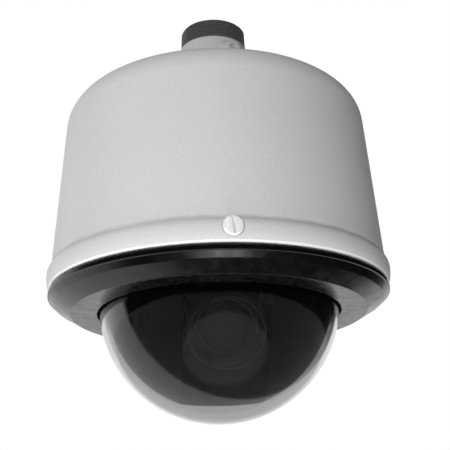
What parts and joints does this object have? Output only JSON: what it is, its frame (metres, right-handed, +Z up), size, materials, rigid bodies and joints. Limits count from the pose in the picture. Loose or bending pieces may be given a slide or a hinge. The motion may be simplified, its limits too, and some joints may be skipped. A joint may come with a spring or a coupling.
{
  "type": "pendant dome camera",
  "caption": "Outdoor pendant pan-tilt-zoom dome camera: tapered grey back box with a threaded pipe hub, black trim ring, smoked bubble and a belt-driven camera inside.",
  "frame": {"origin": "centre of the threaded hub's top end face, where the pipe screws on", "axes": "+Z up along the hub's axis, which is the pan axis; -Y is the front, where the first lock screw sits and the lens looks at rest; +X to the right"},
  "size_m": [0.236, 0.2374, 0.2925],
  "materials": {
    "grey_paint": "satin light grey powder coat",
    "stainless": "brushed stainless",
    "rubber": "matt",
    "black_trim": "semi-gloss black",
    "smoked_plastic": "clear smoked, polished",
    "plated_steel": "zinc plated",
    "bearing_steel": "ground",
    "pulley_plastic": "moulded",
    "belt_rubber": "matt",
    "motor_black": "satin black",
    "component_black": "moulded",
    "transformer_steel": "varnished laminations",
    "circuit_board": "green solder mask",
    "terminal_green": "moulded",
    "heater_aluminium": "extruded",
    "yoke_black": "satin black",
    "liner_black": "matt black",
    "barrel_black": "matt black",
    "lens_glass": "coated"
  },
  "bodies": {
    "housing": {"mounting_hub": "grey_paint", "hub_gasket": "rubber", "hub_screw_1": "stainless", "hub_screw_2": "stainless", "hub_screw_3": "stainless", "hub_set_screw": "stainless", "back_box": "grey_paint", "trim_gasket": "rubber", "trim_ring": "black_trim", "bubble_gasket": "rubber", "bubble": "smoked_plastic", "bubble_clamp_ring": "black_trim", "clamp_screw_1": "stainless", "clamp_screw_2": "stainless", "clamp_screw_3": "stainless", "chassis_plate": "plated_steel", "chassis_post_1": "plated_steel", "chassis_post_2": "plated_steel", "chassis_post_3": "plated_steel", "pan_bearing": "bearing_steel", "pan_motor": "motor_black", "pan_belt": "belt_rubber", "slip_ring_bridge": "plated_steel", "slip_ring_stator": "component_black", "power_board": "circuit_board", "board_standoff_1": "plated_steel", "board_standoff_2": "plated_steel", "board_standoff_3": "plated_steel", "transformer": "transformer_steel", "board_capacitor": "component_black", "terminal_block": "terminal_green", "fan_frame": "component_black", "heater": "heater_aluminium"},
    "lock_screw_1": {"lock_screw_1": "stainless"},
    "lock_screw_2": {"lock_screw_2": "stainless"},
    "lock_screw_3": {"lock_screw_3": "stainless"},
    "pan_pinion": {"pan_motor_pinion": "bearing_steel"},
    "fan": {"fan_rotor": "component_black"},
    "pan": {"pan_shaft": "bearing_steel", "pan_pulley": "pulley_plastic", "pan_collar": "bearing_steel", "slip_ring_rotor": "component_black", "turntable": "plated_steel", "yoke_arm_left": "yoke_black", "yoke_arm_right": "yoke_black", "tilt_bearing_left": "bearing_steel", "tilt_bearing_right": "bearing_steel", "tilt_motor": "motor_black", "tilt_belt": "belt_rubber", "liner": "liner_black", "liner_bracket_left": "plated_steel", "liner_bracket_right": "plated_steel"},
    "tilt_pinion": {"tilt_motor_pinion": "bearing_steel"},
    "tilt": {"camera_cradle": "plated_steel", "tilt_pulley": "pulley_plastic", "camera_body": "component_black", "lens_barrel": "barrel_black", "lens_front_glass": "lens_glass", "lens_shroud": "barrel_black"}
  },
  "joints": [
    {"name": "pan", "type": "hinge", "parent": "housing", "child": "pan", "pos_m": [0, 0, -0.1291], "axis": [0, 0, 1], "continuous": true},
    {"name": "tilt", "type": "hinge", "parent": "pan", "child": "tilt", "pos_m": [0, 0, -0.2056], "axis": [1, 0, 0], "range_deg": [-37, 57]},
    {"name": "pan_pinion_spin", "type": "hinge", "parent": "housing", "child": "pan_pinion", "pos_m": [0, 0.06, -0.1326], "axis": [0, 0, 1], "continuous": true},
    {"name": "tilt_pinion_spin", "type": "hinge", "parent": "pan", "child": "tilt_pinion", "pos_m": [0, 0, -0.1631], "axis": [1, 0, 0], "range_deg": [-110, 165]},
    {"name": "fan_spin", "type": "hinge", "parent": "housing", "child": "fan", "pos_m": [0.056, -0.022, -0.1173], "axis": [0, 0, 1], "continuous": true},
    {"name": "lock_turn_1", "type": "hinge", "parent": "housing", "child": "lock_screw_1", "pos_m": [0, -0.1167, -0.1946], "axis": [0, -1, 0], "range_deg": [0, 90]},
    {"name": "lock_turn_2", "type": "hinge", "parent": "housing", "child": "lock_screw_2", "pos_m": [0.10107, 0.05835, -0.1946], "axis": [0.866, 0.5, 0], "range_deg": [0, 90]},
    {"name": "lock_turn_3", "type": "hinge", "parent": "housing", "child": "lock_screw_3", "pos_m": [-0.10107, 0.05835, -0.1946], "axis": [-0.866, 0.5, 0], "range_deg": [0, 90]}
  ],
  "couplings": [
    {"joint": "pan_pinion_spin", "follows": "pan", "ratio": 5.1429},
    {"joint": "tilt_pinion_spin", "follows": "tilt", "ratio": 2.8571}
  ]
}
